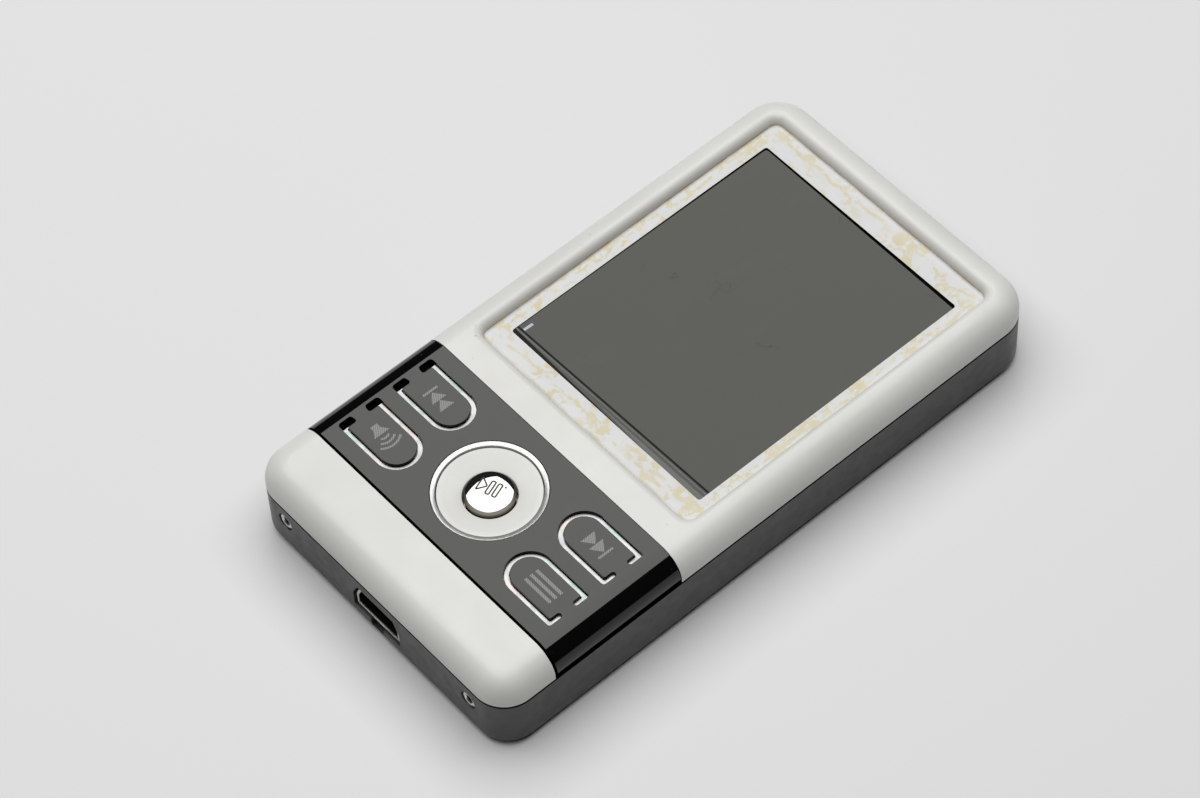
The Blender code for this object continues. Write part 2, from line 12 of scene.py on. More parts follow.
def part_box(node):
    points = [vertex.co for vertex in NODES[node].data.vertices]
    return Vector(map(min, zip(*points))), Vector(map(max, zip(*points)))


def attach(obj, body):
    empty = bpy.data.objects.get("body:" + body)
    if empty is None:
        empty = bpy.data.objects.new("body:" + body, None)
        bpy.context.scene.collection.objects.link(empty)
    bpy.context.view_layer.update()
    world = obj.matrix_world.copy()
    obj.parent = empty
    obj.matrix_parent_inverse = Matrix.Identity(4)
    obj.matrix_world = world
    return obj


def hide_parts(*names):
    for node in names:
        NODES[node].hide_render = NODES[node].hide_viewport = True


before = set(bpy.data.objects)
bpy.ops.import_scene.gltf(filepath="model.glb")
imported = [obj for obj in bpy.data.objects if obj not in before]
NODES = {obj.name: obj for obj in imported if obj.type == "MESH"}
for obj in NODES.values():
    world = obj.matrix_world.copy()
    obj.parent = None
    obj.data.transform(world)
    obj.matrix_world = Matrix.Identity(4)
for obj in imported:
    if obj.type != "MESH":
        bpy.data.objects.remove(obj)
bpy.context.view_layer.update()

MM = 0.001
BASE = "player_body"

# ---------------------------------------------------------------- sizes read from the frame
front_low, front_high = (Vector(corner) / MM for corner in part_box("front_cover"))
ring_low, ring_high = (Vector(corner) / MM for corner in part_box("wheel_ring"))
band_low, band_high = (Vector(corner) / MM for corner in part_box("control_panel"))
plate_low, plate_high = (Vector(corner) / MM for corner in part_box("button_trim_plate"))

HALF_W = front_high.x
NEAR_END = front_low.y
FAR_END = front_high.y
TOP = front_high.z
LENGTH = FAR_END - NEAR_END
BAND_NEAR = band_low.y - NEAR_END
BAND_FAR = band_high.y - NEAR_END
WHEEL_Y = (ring_low.y + ring_high.y) / 2 - NEAR_END
RING_R = ring_high.x
PLATE_BOTTOM = plate_low.z
PLATE_TOP = plate_high.z

# ---------------------------------------------------------------- chosen sizes
# covers: the seam gap, the walls, and the roundings seen from above and from the side
REAR_TOP = 7.65
FRONT_BOTTOM = 7.85
WALL = 1.5
CORNER_NEAR = 4.2
CORNER_FAR = 5.0
EDGE_TOP = 3.3
EDGE_BACK = 0.9
LIP_INSET = 0.95
BEYOND = 30.0

# control band: its skin and the groove in the front cover that it sits in
BAND_SKIN = 0.6
GROOVE = (BAND_NEAR - 0.36, BAND_FAR + 0.1)
SADDLE_HALF = 19.6

# recess and display; the window is left, right, near and far
RECESS_HALF = 18.5
RECESS_SPAN = (31.8, 79.75)
RECESS_FLOOR = 10.35
WINDOW = (-16.45, 16.74, 35.1, 76.15)
GLASS_GAP = 0.05
GLASS_TOP = 10.28
GLASS_SLOPE = (-0.007, -0.0044)

# tongue keys: two rows, a round tip towards the wheel and a hinge near each side
ROW_NEAR = 13.72
ROW_FAR = 21.88
TIP_ARC = 11.825
SLOT_HALF = 3.05
KEY_HALF = 2.325
HINGE = 18.35
HOOK_R = 0.34
HOOK_V = 1.3
PLUNGER_X = 12.5

# play button's domed top
PLAY_R = 2.76
PLAY_RIM = 11.42
PLAY_DOME = 0.22

# ends: screws either side of the socket, and the jack's middle as x and z
SCREW_X = 16.5
SCREW_Z = 5.05
JACK = (12.0, 3.8)

# how far a printed mark stands above its surface
LIFT = 0.006

KEYS = [
    ("volume", -1, ROW_NEAR),
    ("previous", -1, ROW_FAR),
    ("menu", 1, ROW_NEAR),
    ("next", 1, ROW_FAR),
]


def station(y):
    """World Y in millimetres of a station measured from the socket end."""
    return NEAR_END + y


# ---------------------------------------------------------------- camera
def make_camera():
    """A long lens above the near right corner, with a slight roll."""
    data = bpy.data.cameras.new("view_camera")
    data.sensor_width = 36.0
    data.lens = 126.82
    data.clip_start = 0.01
    data.clip_end = 20.0
    camera = bpy.data.objects.new("view_camera", data)
    bpy.context.scene.collection.objects.link(camera)
    azimuth = math.radians(51.685)
    elevation = math.radians(54.338)
    roll = math.radians(-3.658)
    distance = 507.9
    target = Vector((-7.6485, -1.1610, 0.0))
    level = math.cos(elevation)
    back = Vector((math.sin(azimuth) * level, -math.cos(azimuth) * level, math.sin(elevation)))
    side = (-back).cross(Vector((0, 0, 1))).normalized()
    up = side.cross(-back)
    across = side * math.cos(roll) + up * math.sin(roll)
    upward = up * math.cos(roll) - side * math.sin(roll)
    matrix = Matrix((across, upward, back)).transposed().to_4x4()
    matrix.translation = (target + back * distance) * MM
    camera.matrix_world = matrix
    bpy.context.scene.camera = camera


# ---------------------------------------------------------------- materials
class Shader:
    """A Principled material whose nodes are added one call at a time."""

    def __init__(self, name, colour, roughness, metallic=0.0, **settings):
        self.material = bpy.data.materials.new(name)
        self.material.use_nodes = True
        self.tree = self.material.node_tree
        self.main = self.tree.nodes["Principled BSDF"]
        self.main.inputs["Base Color"].default_value = (*colour, 1.0)
        self.main.inputs["Roughness"].default_value = roughness
        self.main.inputs["Metallic"].default_value = metallic
        for key, value in settings.items():
            self.main.inputs[key.replace("_", " ")].default_value = value
        self.coords = self.tree.nodes.new("ShaderNodeTexCoord").outputs["Object"]

    def put(self, source, target):
        if hasattr(source, "links"):
            self.tree.links.new(source, target)
        else:
            target.default_value = source

    def noise(self, scale, detail=3.0, rough=0.5, distortion=0.0, stretch=None):
        made = self.tree.nodes.new("ShaderNodeTexNoise")
        made.inputs["Scale"].default_value = scale
        made.inputs["Detail"].default_value = detail
        made.inputs["Roughness"].default_value = rough
        made.inputs["Distortion"].default_value = distortion
        source = self.coords
        if stretch:
            mapping = self.tree.nodes.new("ShaderNodeMapping")
            mapping.inputs["Scale"].default_value = stretch
            self.tree.links.new(self.coords, mapping.inputs["Vector"])
            source = mapping.outputs["Vector"]
        self.tree.links.new(source, made.inputs["Vector"])
        return made.outputs["Fac"]

    def spots(self, scale):
        made = self.tree.nodes.new("ShaderNodeTexVoronoi")
        made.inputs["Scale"].default_value = scale
        self.tree.links.new(self.coords, made.inputs["Vector"])
        return made.outputs["Distance"]

    def waves(self, scale, direction, distortion=0.0):
        made = self.tree.nodes.new("ShaderNodeTexWave")
        made.bands_direction = direction
        made.inputs["Scale"].default_value = scale
        made.inputs["Distortion"].default_value = distortion
        self.tree.links.new(self.coords, made.inputs["Vector"])
        return made.outputs["Fac"]

    def axis(self, letter):
        made = self.tree.nodes.new("ShaderNodeSeparateXYZ")
        self.tree.links.new(self.coords, made.inputs[0])
        return made.outputs[letter]

    def distance(self, letter, middle=0.0):
        """How far a point lies along an axis from a place in millimetres."""
        return self.math("ABSOLUTE", self.math("SUBTRACT", self.axis(letter), middle * MM))

    def math(self, operation, first, second=0.0, third=0.0):
        made = self.tree.nodes.new("ShaderNodeMath")
        made.operation = operation
        for value, socket in zip((first, second, third), made.inputs):
            self.put(value, socket)
        return made.outputs[0]

    def band(self, source, low, high, to_low=0.0, to_high=1.0):
        """Smooth ramp of a number from low..high to to_low..to_high."""
        made = self.tree.nodes.new("ShaderNodeMapRange")
        made.interpolation_type = "SMOOTHSTEP"
        for value, socket in zip((source, low, high, to_low, to_high), made.inputs):
            self.put(value, socket)
        return made.outputs["Result"]

    def above(self, source, low, high):
        """0 up to low millimetres, then rising to 1 at high."""
        return self.band(source, low * MM, high * MM)

    def below(self, source, low, high):
        """1 up to low millimetres, then falling to 0 at high."""
        return self.band(source, low * MM, high * MM, 1.0, 0.0)

    def times(self, first, *others):
        for other in others:
            first = self.math("MULTIPLY", first, other)
        return first

    def larger(self, first, second):
        return self.math("MAXIMUM", first, second)

    def mix(self, factor, first, second):
        made = self.tree.nodes.new("ShaderNodeMix")
        made.data_type = "RGBA"
        self.put(factor, made.inputs[0])
        for value, socket in ((first, made.inputs[6]), (second, made.inputs[7])):
            if isinstance(value, tuple):
                value = (*value, 1.0)
            self.put(value, socket)
        return made.outputs[2]

    def colour(self, source):
        self.tree.links.new(source, self.main.inputs["Base Color"])

    def specular(self, source):
        self.tree.links.new(source, self.main.inputs["Specular IOR Level"])

    def roughness(self, source):
        self.tree.links.new(source, self.main.inputs["Roughness"])

    def bump(self, source, strength, distance):
        made = self.tree.nodes.new("ShaderNodeBump")
        made.inputs["Strength"].default_value = strength
        made.inputs["Distance"].default_value = distance
        self.tree.links.new(source, made.inputs["Height"])
        self.tree.links.new(made.outputs["Normal"], self.main.inputs["Normal"])


def stain_and_shade_recess(made, colour):
    """Cool ledge, yellowed glue residue, grime and painted shade along the rim, and painted shade
    on the recess wall.
    """
    height = made.axis("Z")
    across = made.distance("X")
    along = made.distance("Y", station(55.9))
    inside = made.times(made.below(across, 18.7, 18.8), made.below(along, 24.2, 24.3))
    ledge = made.times(made.below(made.distance("Z", RECESS_FLOOR), 0.12, 0.22), inside)
    colour = made.mix(made.times(ledge, 0.85), colour, (0.60, 0.607, 0.607))

    blotch = made.band(made.noise(620, 8, 0.62, 0.5), 0.49, 0.58)
    patch = made.band(made.noise(190, 3), 0.34, 0.52)
    bead = made.larger(made.math("SUBTRACT", across, 17.5 * MM),
                       made.math("SUBTRACT", along, 22.2 * MM))
    wobble = made.band(made.noise(160, 4), 0.2, 0.8, -0.8 * MM, 0.8 * MM)
    track = made.below(made.math("ABSOLUTE", made.math("ADD", bead, wobble)), 0.1, 0.4)
    track = made.times(track, made.band(made.noise(900, 6, 0.65), 0.42, 0.56))
    residue = made.times(made.larger(made.times(blotch, patch), track), ledge)
    yellow = made.mix(made.noise(700, 4), (0.54, 0.46, 0.25), (0.62, 0.57, 0.42))
    colour = made.mix(made.times(residue, 0.85), colour, yellow)

    # Rim: grime and painted shade, a brown line where the ledge meets the wall.
    rim = made.larger(made.above(across, 18.15, 18.46), made.above(along, 23.45, 23.78))
    rim = made.times(rim, ledge, made.band(made.noise(300, 4), 0.38, 0.6, 0.35, 1.0))
    colour = made.mix(made.times(rim, 0.7), colour, (0.44, 0.39, 0.30))

    # Wall: painted shade, a browner and darker tint low on the recess wall.
    wall = made.larger(made.above(across, 17.8, 18.4), made.above(along, 23.0, 23.7))
    wall = made.times(wall, made.below(height, 10.5, 11.5), inside,
                      made.math("SUBTRACT", 1.0, ledge))
    colour = made.mix(made.times(wall, 0.5), colour, (0.66, 0.58, 0.53))
    return colour, inside


def paint_gap_shade(made, colour, inside):
    """Painted shade: dull black on the band's groove and on the window's walls, where little light
    reaches.
    """
    height = made.axis("Z")
    near, far = (station(y) * MM for y in (GROOVE[0] - 0.01, GROOVE[1] + 0.01))
    gap = made.times(made.math("GREATER_THAN", made.axis("Y"), near),
                     made.math("LESS_THAN", made.axis("Y"), far),
                     made.below(height, 11.2, 11.25))
    gap = made.larger(gap, made.times(made.below(height, 10.28, 10.31), inside))
    made.specular(made.band(gap, 0.0, 1.0, 0.45, 0.0))
    return made.mix(gap, colour, (0.004, 0.004, 0.004))


def white_plastic(name, stained_and_shaded=True):
    """Warm white moulding with specks and smears, and on the front cover its stains and painted
    shade.
    """
    made = Shader(name, (0.74, 0.74, 0.70), 0.34, Specular_IOR_Level=0.45)
    tone = made.band(made.noise(45, 3), 0.35, 0.65)
    colour = made.mix(tone, (0.648, 0.645, 0.612), (0.682, 0.68, 0.652))
    # On the front cover: stains, and painted shade in the recess and in the gaps.
    if stained_and_shaded:
        colour, inside = stain_and_shade_recess(made, colour)
        colour = paint_gap_shade(made, colour, inside)
    speck = made.band(made.spots(420), 0.045, 0.075, 1.0, 0.0)
    speck = made.times(speck, made.band(made.noise(90, 2), 0.51, 0.62), 0.55)
    colour = made.mix(speck, colour, (0.40, 0.34, 0.24))
    smear = made.band(made.noise(130, 6, 0.7, 1.2), 0.60, 0.74)
    made.colour(made.mix(made.times(smear, 0.22), colour, (0.60, 0.57, 0.48)))
    made.roughness(made.band(made.noise(200, 4), 0.3, 0.7, 0.28, 0.42))
    made.bump(made.noise(2600, 2), 0.08, 0.00004)
    return made.material


def black_gloss():
    """Piano black with a few fine scuffs and dust."""
    black = (0.0015, 0.0015, 0.0016)
    made = Shader("black_gloss_lacquer", black, 0.06, Specular_IOR_Level=0.5,
                  Specular_Tint=(0.99, 1.0, 0.94, 1.0))
    scuff = made.band(made.noise(500, 6, 0.7, 1.5, (1.0, 0.25, 1.0)), 0.58, 0.75)
    dust = made.band(made.spots(700), 0.03, 0.06, 1.0, 0.0)
    dust = made.times(dust, made.band(made.noise(120, 2), 0.5, 0.64))
    layer = made.larger(made.times(scuff, 0.05), made.times(dust, 0.5))
    made.colour(made.mix(layer, black, (0.16, 0.15, 0.13)))
    made.roughness(made.band(scuff, 0.0, 1.0, 0.05, 0.11))
    return made.material


def satin_dark():
    """Dark grey moulded back, satin, with a fine grain and painted shade as a black line at the
    seam.
    """
    made = Shader("dark_satin_plastic", (0.05, 0.05, 0.052), 0.42, Specular_IOR_Level=0.45)
    tone = made.band(made.noise(60, 4), 0.3, 0.7)
    colour = made.mix(tone, (0.037, 0.037, 0.038), (0.045, 0.045, 0.046))
    rub = made.band(made.noise(350, 6, 0.7, 2.0), 0.62, 0.78)
    colour = made.mix(made.times(rub, 0.25), colour, (0.10, 0.10, 0.10))
    # Painted shade: the top of the rear cover's side goes black, as the shadow in the seam gap.
    seam = made.above(made.axis("Z"), REAR_TOP - 0.17, REAR_TOP - 0.13)
    made.colour(made.mix(seam, colour, (0.002, 0.002, 0.002)))
    made.specular(made.band(seam, 0.0, 1.0, 0.45, 0.0))
    made.roughness(made.band(made.noise(700, 3), 0.3, 0.7, 0.36, 0.46))
    made.bump(made.noise(6500, 2), 0.15, 0.00002)
    return made.material


def chrome(name, colour, rough, metallic):
    """Bright plating, dulled a little by fine rubbing."""
    made = Shader(name, colour, rough, metallic)
    cloud = made.band(made.noise(600, 4), 0.35, 0.7)
    made.colour(made.mix(cloud, colour, tuple(part * 0.93 for part in colour)))
    made.roughness(made.band(made.noise(900, 3), 0.3, 0.75, rough, rough + 0.06))
    return made.material


def key_plating():
    """Mirror plating on the play key, with painted shade on the wall below its rim."""
    mirror = (0.42, 0.42, 0.42)
    made = Shader("key_plating", mirror, 0.03, 1.0)
    height = made.axis("Z")
    # Painted shade: the wall goes darker and browner towards the foot.
    wall = made.mix(made.above(height, 10.68, 11.0), (0.11, 0.10, 0.08), (0.30, 0.28, 0.235))
    made.colour(made.mix(made.above(height, 11.31, 11.37), wall, mirror))
    made.roughness(made.band(made.noise(900, 3), 0.3, 0.75, 0.02, 0.05))
    return made.material


def trim_film():
    """Bright plated sheet with a faint rainbow, as thin diffracting film has."""
    made = Shader("trim_film", (0.34, 0.35, 0.35), 0.3, 1.0)
    shift = made.noise(330, 4, 0.6, 0.5)
    cool = made.mix(made.band(shift, 0.35, 0.5), (0.29, 0.345, 0.325), (0.34, 0.34, 0.345))
    made.colour(made.mix(made.band(shift, 0.52, 0.66), cool, (0.385, 0.345, 0.325)))
    made.roughness(made.band(made.noise(700, 3), 0.3, 0.7, 0.26, 0.42))
    return made.material


def metal(name, colour, rough):
    """Drawn metal with fine lengthwise streaks."""
    made = Shader(name, colour, rough, 1.0)
    streak = made.noise(900, 4, 0.6, 0.0, (1.0, 0.15, 1.0))
    made.colour(made.mix(streak, tuple(part * 0.8 for part in colour), colour))
    made.roughness(made.band(streak, 0.3, 0.7, rough, rough + 0.15))
    return made.material


def metal_shaded_inside(name, colour, rough, depth):
    """Metal that's bright near the end face, with painted shade making it dark further in than
    depth.
    """
    made = Shader(name, colour, rough, 1.0)
    # Painted shade: dark deeper inside the socket and inside the screw recess.
    inward = made.above(made.axis("Y"), station(depth), station(depth + 0.1))
    made.colour(made.mix(inward, colour, (0.012, 0.011, 0.010)))
    made.roughness(made.band(inward, 0.0, 1.0, rough, 0.6))
    return made.material


def moulded(name, colour, rough):
    """Plain moulded or coated material with fine tone and grain changes."""
    made = Shader(name, colour, rough)
    cloud = made.noise(500, 4)
    made.colour(made.mix(cloud, tuple(part * 0.85 for part in colour), colour))
    made.roughness(made.band(cloud, 0.3, 0.7, rough * 0.9, min(1.0, rough * 1.15)))
    made.bump(made.noise(4000, 2), 0.1, 0.00002)
    return made.material


def display_glass():
    """Switched-off display: near black under a smooth film, with wipe marks and fine hairs."""
    black = (0.002, 0.002, 0.0012)
    made = Shader("display_film", black, 0.07, Specular_IOR_Level=0.46,
                  Specular_Tint=(0.985, 1.0, 0.90, 1.0))
    wipe = made.band(made.noise(70, 6, 0.7, 2.5, (1.0, 0.3, 1.0)), 0.55, 0.75)
    made.colour(made.mix(made.times(wipe, 0.05), black, (0.12, 0.12, 0.1)))
    made.roughness(made.band(wipe, 0.0, 1.0, 0.06, 0.10))
    hair = made.math("ABSOLUTE", made.math("SUBTRACT", made.noise(150, 4), 0.5))
    hair = made.band(hair, 0.002, 0.006, 1.0, 0.0)
    hair = made.times(hair, made.band(made.noise(110, 3), 0.6, 0.66))
    made.specular(made.band(hair, 0.0, 1.0, 0.46, 0.32))
    return made.material


def etched():
    """Laser-etched mark: fine light hatching over the black."""
    made = Shader("etched_mark", (0.3, 0.3, 0.29), 0.5)
    hatch = made.band(made.waves(2100, "DIAGONAL", 1.0), 0.15, 0.55)
    made.colour(made.mix(hatch, (0.08, 0.08, 0.075), (0.29, 0.29, 0.275)))
    made.roughness(made.band(hatch, 0.0, 1.0, 0.35, 0.6))
    return made.material


def circuit_board():
    """Green solder mask over faint tracks."""
    made = Shader("solder_mask", (0.02, 0.12, 0.05), 0.35)
    track = made.band(made.waves(260, "X", 3.0), 0.44, 0.5)
    lane = made.band(made.waves(180, "Y", 4.0), 0.48, 0.54)
    both = made.times(track, lane)
    made.colour(made.mix(both, (0.015, 0.09, 0.04), (0.03, 0.17, 0.07)))
    made.bump(both, 0.4, 0.00003)
    return made.material


WHITE = white_plastic("white_moulding")
WHITE_PLAIN = white_plastic("white_moulding_plain", stained_and_shaded=False)
BLACK = black_gloss()
DARK = satin_dark()
PLAY_CHROME = key_plating()
RING_CHROME = chrome("chrome_spun", (0.50, 0.50, 0.49), 0.2, 0.62)
FILM = trim_film()
STEEL = metal("screw_steel_wire", (0.62, 0.61, 0.59), 0.22)
TIN = metal("tin_plate", (0.66, 0.66, 0.65), 0.28)
GOLD = metal("gold_plate", (0.85, 0.62, 0.28), 0.2)
SOCKET_METAL = metal_shaded_inside("plated_shell", (0.62, 0.61, 0.57), 0.3, 0.36)
SCREW_METAL = metal_shaded_inside("screw_rim", (0.72, 0.71, 0.68), 0.28, 0.24)
NYLON = moulded("black_nylon_resin", (0.018, 0.018, 0.018), 0.42)
SCREEN = display_glass()
MARK = etched()
EDGE_STRIP_AND_GLINT = moulded("display_edge_strip_and_glint", (0.055, 0.055, 0.052), 0.12)
INK = moulded("engraved_ink", (0.05, 0.035, 0.025), 0.6)
FOAM = moulded("black_foam", (0.008, 0.007, 0.006), 0.95)
PALE = moulded("pale_film", (0.66, 0.66, 0.63), 0.5)
LABEL = moulded("display_label", (0.46, 0.47, 0.56), 0.4)
BOARD = circuit_board()
EPOXY = moulded("chip_resin", (0.02, 0.02, 0.022), 0.5)
AMBER = moulded("amber_film", (0.40, 0.20, 0.05), 0.3)
POUCH = metal("pouch_foil", (0.62, 0.62, 0.63), 0.34)
RED = moulded("red_insulation", (0.5, 0.02, 0.02), 0.45)
BLACK_WIRE = moulded("black_insulation", (0.02, 0.02, 0.02), 0.45)


# ---------------------------------------------------------------- mesh helpers
def cube(x, y, z):
    """A bmesh box between limits, Y given as stations."""
    made = bmesh.new()
    size = (x[1] - x[0], y[1] - y[0], z[1] - z[0])
    middle = ((x[0] + x[1]) / 2, station((y[0] + y[1]) / 2), (z[0] + z[1]) / 2)
    placed = Matrix.Translation(middle) @ Matrix.Diagonal((*size, 1.0))
    bmesh.ops.create_cube(made, size=1.0, matrix=placed)
    return made


def round_edges(shape, chosen, radius, segments):
    """Rounds the edges that chosen(middle, direction) picks."""
    picked = []
    for edge in shape.edges:
        first, second = (vertex.co for vertex in edge.verts)
        if chosen((first + second) / 2, (second - first).normalized()):
            picked.append(edge)
    bmesh.ops.bevel(
        shape, geom=picked, offset=radius, offset_type="OFFSET", segments=segments,
        profile=0.5, affect="EDGES",
    )


def round_corners(shape, near, far, segments):
    """Rounds a block's upright edges by one radius at its near end and one at its far end."""
    middle = sum(vertex.co.y for vertex in shape.verts) / len(shape.verts)
    for radius, side in ((near, -1), (far, 1)):
        if radius > 0:
            round_edges(
                shape, lambda m, d: abs(d.z) > 0.9 and (m.y - middle) * side > 0,
                radius, segments,
            )


def round_rim(shape, height, radius, segments):
    """Rounds the level edges at a height."""
    round_edges(
        shape, lambda m, d: abs(m.z - height) < 1e-3 and abs(d.z) < 1e-3, radius, segments
    )


def prism(points, low, high, upright=False):
    """An outline of (x, station) pairs raised from low to high.

    With upright set the pairs are (x, z) and the span is stations along Y.
    """
    made = bmesh.new()
    if upright:
        ring = [made.verts.new((x, station(low), z)) for x, z in points]
        move = Vector((0, high - low, 0))
    else:
        ring = [made.verts.new((x, station(y), low)) for x, y in points]
        move = Vector((0, 0, high - low))
    face = made.faces.new(ring)
    grown = bmesh.ops.extrude_face_region(made, geom=[face])
    moved = [part for part in grown["geom"] if isinstance(part, bmesh.types.BMVert)]
    bmesh.ops.translate(made, vec=move, verts=moved)
    return made


def rod(spot, span, radius, axis="Z", sides=64, end_radius=None):
    """A cylinder or cone along Z at (x, station), or along Y at (x, z)."""
    made = bmesh.new()
    far_radius = radius if end_radius is None else end_radius
    bmesh.ops.create_cone(
        made, cap_ends=True, segments=sides, radius1=radius, radius2=far_radius,
        depth=span[1] - span[0],
    )
    middle = (span[0] + span[1]) / 2
    if axis == "Z":
        place = Matrix.Translation((spot[0], station(spot[1]), middle))
    else:
        turn = Matrix.Rotation(math.radians(-90), 4, "X")
        place = Matrix.Translation((spot[0], station(middle), spot[1])) @ turn
    bmesh.ops.transform(made, matrix=place, verts=made.verts)
    return made


def lathe(profile, centre, steps=120, axis="Z"):
    """A closed turned shape from (radius, height) points round an axis through centre."""
    made = bmesh.new()
    rings = []
    for radius, height in profile:
        ring = []
        for step in range(steps if radius > 0 else 1):
            angle = math.tau * step / steps
            spot = (radius * math.cos(angle), radius * math.sin(angle), height)
            ring.append(made.verts.new(spot))
        rings.append(ring)
    closed = len(rings[0]) > 1 and len(rings[-1]) > 1
    for index in range(len(rings) if closed else len(rings) - 1):
        first = rings[index]
        second = rings[(index + 1) % len(rings)]
        for step in range(steps):
            after = (step + 1) % steps
            corners = [first[step % len(first)]]
            if len(second) > 1:
                corners.append(second[step])
            corners.append(second[after % len(second)])
            if len(first) > 1:
                corners.append(first[after])
            made.faces.new(corners)
    turn = Matrix.Identity(4)
    if axis == "Y":
        turn = Matrix.Rotation(math.radians(-90), 4, "X")
    bmesh.ops.transform(made, matrix=Matrix.Translation(centre) @ turn, verts=made.verts)
    return made


def to_object(name, shape):
    """Turns a bmesh in millimetres into an object in metres."""
    bmesh.ops.recalc_face_normals(shape, faces=shape.faces)
    bmesh.ops.scale(shape, vec=(MM, MM, MM), verts=shape.verts)
    mesh = bpy.data.meshes.new(name)
    shape.to_mesh(mesh)
    shape.free()
    made = bpy.data.objects.new(name, mesh)
    bpy.context.scene.collection.objects.link(made)
    return made


def to_shape(piece):
    """Turns an object back into a bmesh in millimetres and removes it."""
    shape = bmesh.new()
    shape.from_mesh(piece.data)
    bmesh.ops.scale(shape, vec=(1 / MM, 1 / MM, 1 / MM), verts=shape.verts)
    bpy.data.objects.remove(piece)
    return shape


def combine(name, shape, cuts=(), joins=()):
    """A shape with others joined on and then cut away, as one plain mesh."""
    made = to_object(name, shape)
    tools = []
    for operation, group in (("UNION", joins), ("DIFFERENCE", cuts)):
        for other in group:
            tool = to_object("tool", other)
            change = made.modifiers.new("change", "BOOLEAN")
            change.operation = operation
            change.solver = "EXACT"
            change.object = tool
            tools.append(tool)
    bpy.context.view_layer.update()
    graph = bpy.context.evaluated_depsgraph_get()
    solid = bpy.data.meshes.new_from_object(made.evaluated_get(graph))
    made.modifiers.clear()
    made.data = solid
    for tool in tools:
        bpy.data.objects.remove(tool)
    return made


def soften(piece, width, segments=2, skip=None, angle=28.0):
    """Rounds every sharp edge except those that skip(middle in mm) leaves sharp."""
    shape = bmesh.new()
    shape.from_mesh(piece.data)
    bmesh.ops.dissolve_limit(
        shape, angle_limit=math.radians(0.05), verts=shape.verts, edges=shape.edges
    )
    weight = shape.edges.layers.float.new("bevel_weight_edge")
    for edge in shape.edges:
        edge.smooth = True
        if len(edge.link_faces) != 2 or edge.calc_face_angle(0.0) < math.radians(angle):
            continue
        middle = (edge.verts[0].co + edge.verts[1].co) / 2 / MM
        if skip and skip(middle):
            edge.smooth = False
        else:
            edge[weight] = 1.0
    for face in shape.faces:
        face.smooth = True
    shape.to_mesh(piece.data)
    shape.free()
    bevel = piece.modifiers.new("edge rounding", "BEVEL")
    bevel.limit_method = "WEIGHT"
    bevel.width = width * MM
    bevel.segments = segments
    bevel.use_clamp_overlap = True
    normals = piece.modifiers.new("even shading", "WEIGHTED_NORMAL")
    normals.keep_sharp = True
    normals.weight = 100


def smooth_only(piece, angle):
    """Shades a piece smooth except at edges sharper than the angle in degrees."""
    piece.data.shade_smooth()
    piece.data.set_sharp_from_angle(angle=math.radians(angle))


def dress(piece, look, body, record_slot, *nodes):
    """Gives a finished piece its material and its body, and hides the CAD nodes it stands for."""
    piece.data.materials.clear()
    piece.data.materials.append(look)
    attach(piece, body)
    if nodes:
        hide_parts(*nodes)
    return piece


def arc(centre, radius, start, end, steps):
    """Points along an arc between two angles in degrees."""
    points = []
    for step in range(steps + 1):
        angle = math.radians(start + (end - start) * step / steps)
        points.append((centre[0] + radius * math.cos(angle), centre[1] + radius * math.sin(angle)))
    return points


def rounded(corners, radius, steps):
    """A closed path through corners that are each eased by a short curve."""
    path = []
    for index, corner in enumerate(corners):
        here = Vector(corner)
        before = (Vector(corners[index - 1]) - here).normalized() * radius
        after = (Vector(corners[(index + 1) % len(corners)]) - here).normalized() * radius
        for step in range(steps + 1):
            share = step / steps
            point = here + before * (1 - share) ** 2 + after * share ** 2
            path.append((point.x, point.y))
    return path


# ---------------------------------------------------------------- key and slot outlines
def oval(centre, wide, tall, start, end, steps):
    """Points along a stretched arc."""
    points = arc((0, 0), 1.0, start, end, steps)
    return [(centre[0] + wide * x, centre[1] + tall * y) for x, y in points]


def pocket_outline(side, row, inset=0.0, neck=False):
    """The hole in the band for one key, hooks included, up to the hinge line.

    With neck set, the outline runs on past the hooks' ends as a plain rectangle.
    """
    half = SLOT_HALF - inset
    reach = (HOOK_R if side > 0 else 0.72) - inset
    outer = HINGE + reach
    corner = min(0.45, reach)
    points = arc((TIP_ARC, 0), half, 90, 270, 28)
    points += arc((outer - corner, -half + corner), corner, 270, 360, 5)
    if not neck:
        points += oval((HINGE, -HOOK_V), reach, HOOK_R - inset, 0, 90, 5)
        points += oval((HINGE, HOOK_V), reach, HOOK_R - inset, 270, 360, 5)
    points += arc((outer - corner, half - corner), corner, 0, 90, 5)
    return [(side * across, row + along) for across, along in points]


def key_outline(side, row, outset=0.0, neck_end=HINGE):
    """The key itself, from its round tip to the hinge line in its neck."""
    half = KEY_HALF + outset
    root = HINGE - HOOK_R + outset
    corner = 0.22
    hook = HOOK_R - outset
    points = arc((TIP_ARC, 0), half, 90, 270, 28)
    points += arc((root - corner, -half + corner), corner, 270, 360, 4)
    points += arc((HINGE, -HOOK_V), hook, 180, 90, 5)
    if neck_end > HINGE:
        points += [(neck_end, -HOOK_V + hook), (neck_end, HOOK_V - hook)]
    points += arc((HINGE, HOOK_V), hook, 270, 180, 5)
    points += arc((root - corner, half - corner), corner, 0, 90, 4)
    return [(side * across, row + along) for across, along in points]


def on_hinge_line(middle):
    """Whether an edge's middle lies where a key meets the band at its hinge."""
    return abs(abs(middle.x) - HINGE) < 0.01 and any(
        abs(middle.y - station(row)) < HOOK_V - HOOK_R + 0.02 for row in (ROW_NEAR, ROW_FAR)
    )


